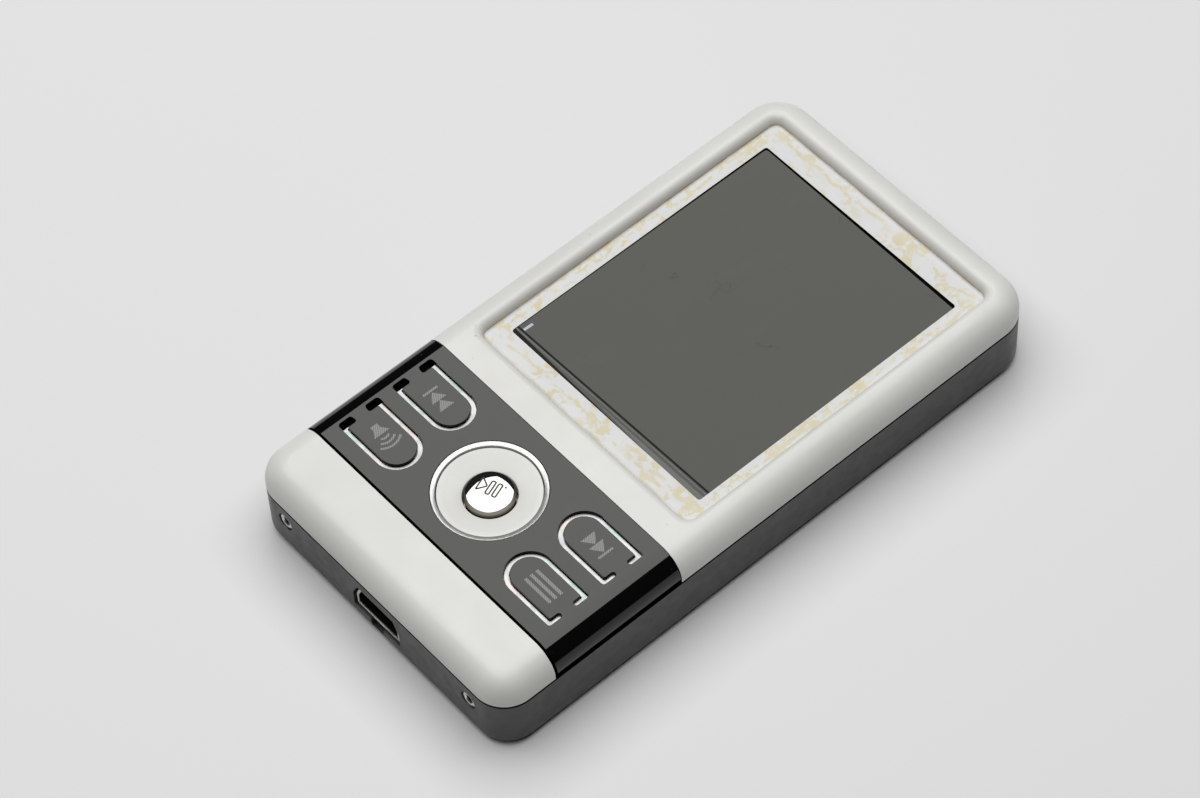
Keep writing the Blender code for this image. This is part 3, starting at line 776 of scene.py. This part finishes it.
# ---------------------------------------------------------------- shells
def flared_pocket(x, y, corner, floor, flare):
    """Cutter for a pocket whose upright wall rolls outward into the top face."""
    levels = [(floor, 0.0)]
    for step in range(9):
        turn = math.radians(84 * step / 8)
        levels.append((TOP - flare * (1 - math.sin(turn)), flare * (1 - math.cos(turn))))
    levels.append((TOP + 1.0, levels[-1][1]))
    made = bmesh.new()
    rings = []
    for height, grow in levels:
        path = []
        for middle_x, middle_y, start in (
            (x[0] + corner, y[0] + corner, 180), (x[1] - corner, y[0] + corner, 270),
            (x[1] - corner, y[1] - corner, 0), (x[0] + corner, y[1] - corner, 90),
        ):
            path += arc((middle_x, middle_y), corner + grow, start, start + 90, 12)
        rings.append([made.verts.new((px, station(py), height)) for px, py in path])
    for lower, upper in zip(rings, rings[1:]):
        for index, vert in enumerate(lower):
            made.faces.new((lower[index - 1], vert, upper[index], upper[index - 1]))
    made.faces.new(list(reversed(rings[0])))
    made.faces.new(rings[-1])
    return made


def plunger_holes(low, high):
    """Cutters for the holes under the four tongue keys."""
    holes = []
    for _, side, row in KEYS:
        x = side * PLUNGER_X
        holes.append(cube((x - 1.6, x + 1.6), (row - 1.8, row + 1.8), (low, high)))
    return holes


def make_front_cover():
    """White shell with the band's groove, the recess and window, and two screw lugs."""
    shape = cube((-HALF_W, HALF_W), (0, LENGTH), (FRONT_BOTTOM, TOP))
    round_corners(shape, CORNER_NEAR, CORNER_FAR, 20)
    round_rim(shape, TOP, EDGE_TOP, 18)
    cuts = []
    for wall, ceiling, segments in ((WALL, 9.9, 8), (0.8, 8.65, 12)):
        inner = HALF_W - wall
        hollow = cube((-inner, inner), (wall, LENGTH - wall), (6, ceiling))
        round_corners(hollow, CORNER_NEAR - wall, CORNER_FAR - wall, segments)
        cuts.append(hollow)
    cuts.append(cube((-BEYOND, BEYOND), GROOVE, (PLATE_BOTTOM - 0.12, 14)))
    cuts.append(cube((-BEYOND, -SADDLE_HALF), GROOVE, (5, 14)))
    cuts.append(cube((SADDLE_HALF, BEYOND), GROOVE, (5, 14)))
    recess_x = (-RECESS_HALF, RECESS_HALF)
    cuts.append(flared_pocket(recess_x, RECESS_SPAN, corner=1.3, floor=RECESS_FLOOR, flare=1.15))
    window = cube(WINDOW[:2], WINDOW[2:], (8, 14))
    round_corners(window, 0.35, 0.35, 4)
    cuts.append(window)
    cuts.append(rod((0, WHEEL_Y), (9, 12), 6.42, sides=96))
    cuts += plunger_holes(9, 12)
    shell = combine("front_cover", shape, cuts)
    lugs = []
    holes = []
    for x in (-SCREW_X, SCREW_X):
        lugs.append(cube((x - 1.9, x + 1.9), (1.75, 5.2), (3.6, 9.5)))
        holes.append(rod((x, SCREW_Z), (0.5, 6), 0.62, "Y", 32))
    shell = combine("front_cover", to_shape(shell), holes, lugs)
    soften(shell, 0.1)
    dress(shell, WHITE, BASE, "white_shell", "front_cover")


def make_rear_cover():
    """Dark tub with a lip at each end, openings in its ends and four board bosses."""
    shape = cube((-HALF_W, HALF_W), (0, LENGTH), (0, REAR_TOP))
    round_corners(shape, CORNER_NEAR, CORNER_FAR, 20)
    round_rim(shape, 0.0, EDGE_BACK, 8)
    side = HALF_W - LIP_INSET
    near_lip = cube((-side, side), (LIP_INSET, 7.4), (5.0, 8.45))
    round_corners(near_lip, CORNER_NEAR - LIP_INSET, 0, 12)
    far_lip = cube((-side, side), (28.0, LENGTH - LIP_INSET), (5.0, 8.45))
    round_corners(far_lip, 0, CORNER_FAR - LIP_INSET, 12)
    inner = HALF_W - WALL
    cavity = cube((-inner, inner), (WALL, LENGTH - WALL), (1.4, 11))
    round_corners(cavity, CORNER_NEAR - WALL, CORNER_FAR - WALL, 10)
    socket = [(-4.15, 1.8), (4.15, 1.8), (4.15, 4.2), (3.2, 6.15), (-3.2, 6.15), (-4.15, 4.2)]
    socket_opening = prism(socket, -1, 1.9, upright=True)
    notch = cube((-1.2, 1.1), (-1, 1.1), (0.4, 2.1))
    jack_hole = rod(JACK, (LENGTH - 2, LENGTH + 1), 2.5, "Y", 64)
    cuts = [cavity, socket_opening, notch, jack_hole]
    for x in (-SCREW_X, SCREW_X):
        head_seat = rod((x, SCREW_Z), (-1, 0.95), 1.2, "Y", 48)
        screw_hole = rod((x, SCREW_Z), (0.5, 2.0), 0.65, "Y", 32)
        cuts += [head_seat, screw_hole]
    cover = combine("rear_cover", shape, cuts, [near_lip, far_lip])
    bosses = []
    holes = []
    for x, y in ((-18.3, 14.0), (18.3, 14.0), (-17.0, 80.3), (17.0, 80.3)):
        bosses.append(rod((x, y), (0.9, 5.95), 1.6, sides=32))
        holes.append(rod((x, y), (2.6, 7), 0.6, sides=24))
    cover = combine("rear_cover", to_shape(cover), holes, bosses)
    soften(cover, 0.12)
    dress(cover, DARK, BASE, "dark_cover", "rear_cover")


# ---------------------------------------------------------------- control band
def make_band():
    """Black arch over the covers, open for the wheel and for the four keys."""
    shape = cube((-HALF_W, HALF_W), (BAND_NEAR, BAND_FAR), (FRONT_BOTTOM, TOP))
    round_edges(shape, lambda m, d: abs(m.z - TOP) < 1e-3 and abs(d.y) > 0.9, EDGE_TOP, 24)
    ceiling = TOP - BAND_SKIN
    hollow = cube((-21.2, 21.2), (0, 40), (5, ceiling))
    round_edges(hollow, lambda m, d: abs(m.z - ceiling) < 1e-3 and abs(d.y) > 0.9, 2.0, 8)
    cuts = [hollow, rod((0, WHEEL_Y), (10, 13), RING_R + 0.05, sides=160)]
    for foot in ((-BEYOND, -21.8), (21.8, BEYOND)):
        cuts.append(cube(foot, (0, 40), (5, 8.6)))
    for _, side, row in KEYS:
        cuts.append(prism(pocket_outline(side, row), ceiling - 0.3, 12))
    band = combine("control_panel", shape, cuts)
    soften(band, 0.05, skip=on_hinge_line)
    dress(band, BLACK, BASE, "black_gloss", "control_panel")


def make_key(name, side, row):
    """One tongue key with the nub that presses its plunger."""
    x = side * PLUNGER_X
    tongue = prism(key_outline(side, row), TOP - BAND_SKIN, TOP)
    nub = cube((x - 1.0, x + 1.0), (row - 1.2, row + 1.2), (8.4, TOP - BAND_SKIN / 2))
    key = combine(f"{name}_button", tongue, joins=[nub])
    soften(key, 0.05, skip=on_hinge_line)
    dress(key, BLACK, f"{name}_key", "black_gloss", f"{name}_button")


def make_trim_plate():
    """Bright sheet under the band, with a ridge that stands in the slot round each key."""
    near, far = plate_low.y - NEAR_END, plate_high.y - NEAR_END
    shape = cube((plate_low.x, plate_high.x), (near, far), (PLATE_BOTTOM, PLATE_TOP))
    side_gap = 0.1
    ridge_top = 11.25
    ridges = []
    for _, side, row in KEYS:
        pocket = pocket_outline(side, row, side_gap, neck=True)
        outer = prism(pocket, PLATE_BOTTOM + 0.1, ridge_top)
        cuts = [prism(key_outline(side, row, side_gap, HINGE + 1.0), 9, 12)]
        if side < 0:
            cuts.append(cube((-BEYOND, plate_low.x + 0.01), (0, 40), (9, 12)))
        ridges.append(to_shape(combine("ridge", outer, cuts)))
    cuts = [rod((0, WHEEL_Y), (9, 12), RING_R + 0.3, sides=96)]
    cuts += plunger_holes(9, 12)
    plate = combine("button_trim_plate", shape, cuts, ridges)
    soften(plate, 0.03, 1)
    dress(plate, FILM, BASE, "chrome_trim", "button_trim_plate")


# ---------------------------------------------------------------- wheel
def dome_height(radius):
    """Height of the play button's gently domed top at a radius."""
    return PLAY_RIM + PLAY_DOME * (1 - (radius / PLAY_R) ** 3)


def make_ring(centre):
    """Spun ring: a flat top that dips a little to a small step at the bore."""
    bore = RING_R - 0.59
    step = 11.62
    ring = [(6.88, TOP), (RING_R - 0.03, TOP - 0.015), (RING_R, TOP - 0.07), (RING_R, ring_low.z)]
    ring += [(bore, ring_low.z), (bore, step - 0.05), (bore + 0.015, step - 0.015)]
    ring += [(bore + 0.05, step), (6.8, TOP - 0.012)]
    piece = to_object("wheel_ring", lathe(ring, centre, 180))
    smooth_only(piece, 24)
    dress(piece, RING_CHROME, BASE, "chrome_trim", "wheel_ring")


def make_disc(centre):
    """White touch disc, dished down to the play button."""
    rise = [(3.38, 10.73), (3.6, 10.81), (3.9, 10.9), (4.3, 11.0), (4.8, 11.1), (5.4, 11.2)]
    rim = [(6.12, 11.35), (6.19, 11.34), (6.22, 11.29)]
    flange = [(6.22, 9.75), (7.2, 9.75), (7.2, 9.4), (3.3, 9.4), (3.3, 10.64), (3.32, 10.69)]
    piece = to_object("wheel_disc", lathe(rim + flange + rise, centre, 180))
    smooth_only(piece, 40)
    dress(piece, WHITE_PLAIN, BASE, "white_shell", "wheel_disc")


def make_play_button(centre):
    """Domed button with a rolled rim, a flared foot and a stem down to its plunger."""
    dome = []
    for step in range(20):
        radius = PLAY_R * step / 19
        dome.append((radius, dome_height(radius)))
    wall = [(2.82, 11.405), (2.87, 11.37), (2.89, 11.3), (2.92, 11.05), (2.98, 10.84)]
    foot = [(3.08, 10.72), (3.12, 10.65), (3.1, 10.6), (3.0, 10.5)]
    stem = [(3.0, 9.2), (3.9, 9.2), (3.9, 8.75), (1.2, 8.75), (1.2, 8.4), (0.0, 8.4)]
    piece = to_object("play_button", lathe(dome + wall + foot + stem, centre, 144))
    smooth_only(piece, 30)
    dress(piece, PLAY_CHROME, "play_key", "chrome_trim", "play_button")


def make_wheel():
    centre = (0, station(WHEEL_Y), 0)
    make_ring(centre)
    make_disc(centre)
    make_play_button(centre)


# ---------------------------------------------------------------- marks
def plates(name, outlines, low, high, look, body, record_slot):
    """Several separate thin plates as one mark."""
    shape = bmesh.new()
    for points in outlines:
        part = prism(points, low, high)
        mesh = bpy.data.meshes.new("part")
        part.to_mesh(mesh)
        part.free()
        shape.from_mesh(mesh)
        bpy.data.meshes.remove(mesh)
    piece = to_object(name, shape)
    return dress(piece, look, body, record_slot)


def rectangle(x, y, width, height):
    half_w = width / 2
    half_h = height / 2
    return [(x - half_w, y - half_h), (x + half_w, y - half_h),
            (x + half_w, y + half_h), (x - half_w, y + half_h)]


def sound_arc(x, y, radius, width):
    outer = arc((x, y), radius + width / 2, -42, 42, 8)
    inner = arc((x, y), radius - width / 2, 42, -42, 8)
    return outer + inner


def key_mark(key, outlines):
    plates(f"{key}_mark", outlines, TOP - 0.02, TOP + LIFT, MARK, f"{key}_key", "display_glass")


def skip_mark(key, side, x, y):
    """Two arrow heads pointing outward against a bar."""
    outlines = [rectangle(x + side * 1.55, y, 0.32, 2.2)]
    for tip in (x + side * 1.3, x - side * 0.15):
        back = tip - side * 1.45
        outlines.append([(tip, y), (back, y + side * 1.1), (back, y - side * 1.1)])
    key_mark(key, outlines)


def make_marks():
    skip_mark("previous", -1, -13.88, ROW_FAR - 0.12)
    skip_mark("next", 1, 14.05, ROW_FAR)
    x, y = -14.3, ROW_NEAR
    speaker = [(x - 1.85, y - 0.5), (x - 1.15, y - 0.5), (x - 0.25, y - 1.15),
               (x - 0.25, y + 1.15), (x - 1.15, y + 0.5), (x - 1.85, y + 0.5)]
    sound = [sound_arc(x - 0.45, y, radius, 0.3) for radius in (0.9, 1.6, 2.3)]
    key_mark("volume", [speaker] + sound)
    x = 14.2
    key_mark("menu", [rectangle(x, y + offset, 4.4, 0.42) for offset in (-0.85, 0.0, 0.85)])


def ribbon(shape, path, width):
    """A thin engraved line along a closed path on the domed top of the play button."""
    count = len(path)
    rows = []
    for index, (x, y) in enumerate(path):
        direction = Vector(path[(index + 1) % count]) - Vector(path[index - 1])
        normal = Vector((-direction.y, direction.x)).normalized() * width / 2
        row = []
        for sign, drop in ((1, 0.0), (-1, 0.0), (-1, 0.03), (1, 0.03)):
            spot = Vector((x, y)) + sign * normal
            height = dome_height(spot.length) + LIFT - drop
            row.append(shape.verts.new((spot.x, station(WHEEL_Y) + spot.y, height)))
        rows.append(row)
    for index, first in enumerate(rows):
        second = rows[(index + 1) % count]
        for side in range(4):
            other = (side + 1) % 4
            shape.faces.new((first[side], first[other], second[other], second[side]))


def fine_path(corners, radius, spacing=0.2):
    """A closed rounded path with extra points along its straight stretches."""
    path = rounded(corners, radius, 5)
    dense = []
    for index, corner in enumerate(path):
        first = Vector(corner)
        second = Vector(path[(index + 1) % len(path)])
        steps = max(1, int((second - first).length / spacing))
        for step in range(steps):
            point = first.lerp(second, step / steps)
            dense.append((point.x, point.y))
    return dense


def make_play_mark():
    """A triangle, two bars and a dot in outline, turned a little on the button."""
    low, high = -0.56, 1.38
    lines = [([(-1.6, low), (-0.55, (low + high) / 2), (-1.6, high)], 0.2, 0.2)]
    for left in (-0.36, 0.52):
        right = left + 0.5
        lines.append(([(left, low), (right, low), (right, high), (left, high)], 0.2, 0.2))
    lines.append(([(1.36, 1.16), (1.52, 1.16), (1.52, 1.32), (1.36, 1.32)], 0.07, 0.1))
    shape = bmesh.new()
    turn = Matrix.Rotation(math.radians(20), 2)
    for corners, radius, width in lines:
        ribbon(shape, fine_path([turn @ Vector(corner) for corner in corners], radius), width)
    piece = to_object("play_mark", shape)
    smooth_only(piece, 60)
    dress(piece, INK, "play_key", "black_nylon")


# ---------------------------------------------------------------- screws
def make_screws():
    """End screws whose heads show a rim ring round a cross recess."""
    face = [(0.0, 0.32), (0.62, 0.32), (0.7, 0.14), (0.78, 0.11), (0.92, 0.11), (1.02, 0.16)]
    shank = [(1.08, 0.26), (1.08, 0.85), (0.45, 0.85), (0.45, 4.7), (0.3, 4.8), (0.0, 4.8)]
    for name, x in (("end_screw_left", -SCREW_X), ("end_screw_right", SCREW_X)):
        cuts = []
        for across, upward in ((0.6, 0.15), (0.15, 0.6)):
            cuts.append(cube((x - across, x + across), (-0.8, 0.7),
                             (SCREW_Z - upward, SCREW_Z + upward)))
        cuts.append(rod((x, SCREW_Z), (0.1, 0.62), 0.3, "Y", 24, 0.12))
        screw = combine(name, lathe(face + shank, (x, station(0), SCREW_Z), 48, "Y"), cuts)
        soften(screw, 0.03, 1)
        dress(screw, SCREW_METAL, BASE, "screw_steel", name)


# ---------------------------------------------------------------- socket
def trapezoid(half_low, low, shoulder, half_high, high, corner):
    """The socket's section, wide side down, with rounded corners."""
    corners = [(-half_low, low), (half_low, low), (half_low, shoulder),
               (half_high, high), (-half_high, high), (-half_low, shoulder)]
    return rounded(corners, corner, 4)


def make_socket():
    """Folded metal shell round a dark tongue."""
    outer = prism(trapezoid(3.85, 2.05, 4.1, 3.0, 5.95, 0.45), 0.25, 9.45, upright=True)
    inner = prism(trapezoid(3.5, 2.4, 3.98, 2.72, 5.6, 0.3), -1, 12, upright=True)
    shell = combine("usb_shell", outer, [inner])
    soften(shell, 0.05)
    dress(shell, SOCKET_METAL, BASE, "plated_steel", "usb_shell")
    blade = cube((-2.25, 2.25), (1.3, 8.0), (3.45, 4.15))
    tongue = combine("usb_tongue", cube((-2.5, 2.5), (7.6, 9.3), (2.6, 5.3)), joins=[blade])
    soften(tongue, 0.08)
    dress(tongue, NYLON, BASE, "black_nylon", "usb_tongue")


# ---------------------------------------------------------------- display
def glass_top(x, y):
    """Height of the display glass at x and a station: it lies a little askew in its window."""
    left, _, near, _ = WINDOW
    slope_x, slope_y = GLASS_SLOPE
    return GLASS_TOP + slope_x * (x - left - GLASS_GAP) + slope_y * (y - near)


def lay_on_glass(name, outlines, look, record_slot):
    """Thin strips that follow the slope of the display glass."""
    piece = plates(name, outlines, 0.0, 1.0, look, BASE, record_slot)
    for vert in piece.data.vertices:
        lift = LIFT if vert.co.z > 0.5 * MM else -0.02
        vert.co.z = (glass_top(vert.co.x / MM, vert.co.y / MM - NEAR_END) + lift) * MM


def make_display():
    """Glass that stands up in the window, marks on its near edge, one of them a painted glint, and
    a foam gasket.
    """
    panel = cube((-17.1, 17.1), (33.8, 77.8), (8.35, 9.55))
    left, right, near, far = WINDOW
    left, right = left + GLASS_GAP, right - GLASS_GAP
    near, far = near + GLASS_GAP, far - GLASS_GAP
    glass = cube((left, right), (near, far), (9.3, 11))
    for vert in glass.verts:
        if vert.co.z > 10:
            vert.co.z = glass_top(vert.co.x, vert.co.y - NEAR_END)
    round_corners(glass, 0.3, 0.3, 4)
    piece = combine("lcd_panel", panel, joins=[glass])
    soften(piece, 0.03)
    dress(piece, SCREEN, BASE, "display_glass", "lcd_panel")
    groove = [(left, 35.96), (right, 36.65), (right, 36.93), (left, 36.22)]
    wedge = [(left, near), (6.3, near), (6.3, near + 0.04), (left, 35.68)]
    lay_on_glass("display_groove", [groove, wedge], FOAM, "foam_gasket")
    # A grey strip along the near edge, and a painted highlight: a grey line standing in for a
    # glint on the glass.
    strip = [(7.3, near), (right, near), (right, 35.92), (-1.67, 35.69), (7.3, 35.27)]
    glint = [(left, 35.72), (right, 36.32), (right, 36.48), (left, 35.88)]
    lay_on_glass("display_glint", [strip, glint], EDGE_STRIP_AND_GLINT, "display_glass")
    label = [(-15.77, 36.3), (-15.39, 36.3), (-15.35, 37.65), (-15.72, 37.65)]
    lay_on_glass("display_label", [label], LABEL, "white_film")
    outer = cube((-17.6, 17.6), (33.5, 77.9), (9.65, 9.8))
    opening = [(-16.6, 34.9), (17.1, 34.9), (17.1, 75.52), (-16.6, 75.85)]
    gasket = combine("lcd_gasket", outer, [prism(opening, 9, 10)])
    soften(gasket, 0.03, 1)
    dress(gasket, FOAM, BASE, "foam_gasket", "lcd_gasket")


# ---------------------------------------------------------------- jack
def make_jack():
    """Headphone jack: a block whose round nose reaches the far end's hole."""
    body = cube((9.0, 15.0), (70.5, 82.25), (1.6, 5.95))
    nose = rod(JACK, (81, 83.7), 2.3, "Y", 64)
    bore = rod(JACK, (71.5, 86), 1.8, "Y", 64)
    jack = combine("headphone_jack", body, [bore], [nose])
    soften(jack, 0.08)
    dress(jack, NYLON, BASE, "black_nylon", "headphone_jack")


# ---------------------------------------------------------------- carried-over solids
def paint_hidden():
    """Gives the inner solids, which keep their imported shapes, their materials."""
    looks = {
        "usb_contacts": GOLD, "lcd_backlight": PALE, "lcd_frame": TIN, "lcd_flex": AMBER,
        "lcd_connector": PALE, "main_board": BOARD, "media_processor": EPOXY,
        "flash_memory": EPOXY, "clock_crystal": TIN, "power_inductor": EPOXY,
        "battery_cell": POUCH, "battery_tape": PALE, "battery_connector": PALE,
        "battery_lead_red": RED, "battery_lead_black": BLACK_WIRE,
    }
    for name in ("volume", "previous", "menu", "next", "play"):
        looks[f"{name}_switch"] = TIN
        looks[f"{name}_plunger"] = NYLON
    for number in range(1, 5):
        looks[f"board_screw_{number}"] = STEEL
    for name, look in looks.items():
        slots = NODES[name].data.materials
        slots.clear()
        slots.append(look)


# ---------------------------------------------------------------- floor and light
def make_stage():
    """A plain pale floor just below the back."""
    made = Shader("pale_floor", (0.71, 0.71, 0.71), 0.6, Specular_IOR_Level=0.2)
    cloud = made.noise(6, 3)
    made.colour(made.mix(cloud, (0.703, 0.703, 0.703), (0.717, 0.717, 0.717)))
    shape = bmesh.new()
    bmesh.ops.create_grid(shape, x_segments=8, y_segments=8, size=1500)
    floor = to_object("floor", shape)
    floor.location.z = -0.55 * MM
    floor.data.materials.append(made.material)


def make_light():
    """One wide soft light, off to one side, over a faint cool fill."""
    height = 600.0
    radiance = 2.94
    low_x, high_x = -0.87 * height, 0.43 * height
    low_y, high_y = -0.60 * height, 0.78 * height
    data = bpy.data.lights.new("softbox", "AREA")
    data.shape = "RECTANGLE"
    data.size = (high_x - low_x) * MM
    data.size_y = (high_y - low_y) * MM
    data.energy = radiance * math.pi * data.size * data.size_y
    light = bpy.data.objects.new("softbox", data)
    light.location = Vector(((low_x + high_x) / 2, (low_y + high_y) / 2, height)) * MM
    bpy.context.scene.collection.objects.link(light)
    world = bpy.data.worlds.new("room")
    world.use_nodes = True
    background = world.node_tree.nodes["Background"]
    background.inputs["Color"].default_value = (0.9, 0.95, 1.0, 1.0)
    background.inputs["Strength"].default_value = 0.03
    bpy.context.scene.world = world
    bpy.context.scene.view_settings.view_transform = "Standard"


make_camera()
make_front_cover()
make_rear_cover()
make_band()
for key_name, key_side, key_row in KEYS:
    make_key(key_name, key_side, key_row)
make_trim_plate()
make_wheel()
make_marks()
make_play_mark()
make_screws()
make_socket()
make_display()
make_jack()
paint_hidden()
make_stage()
make_light()

bpy.context.view_layer.update()
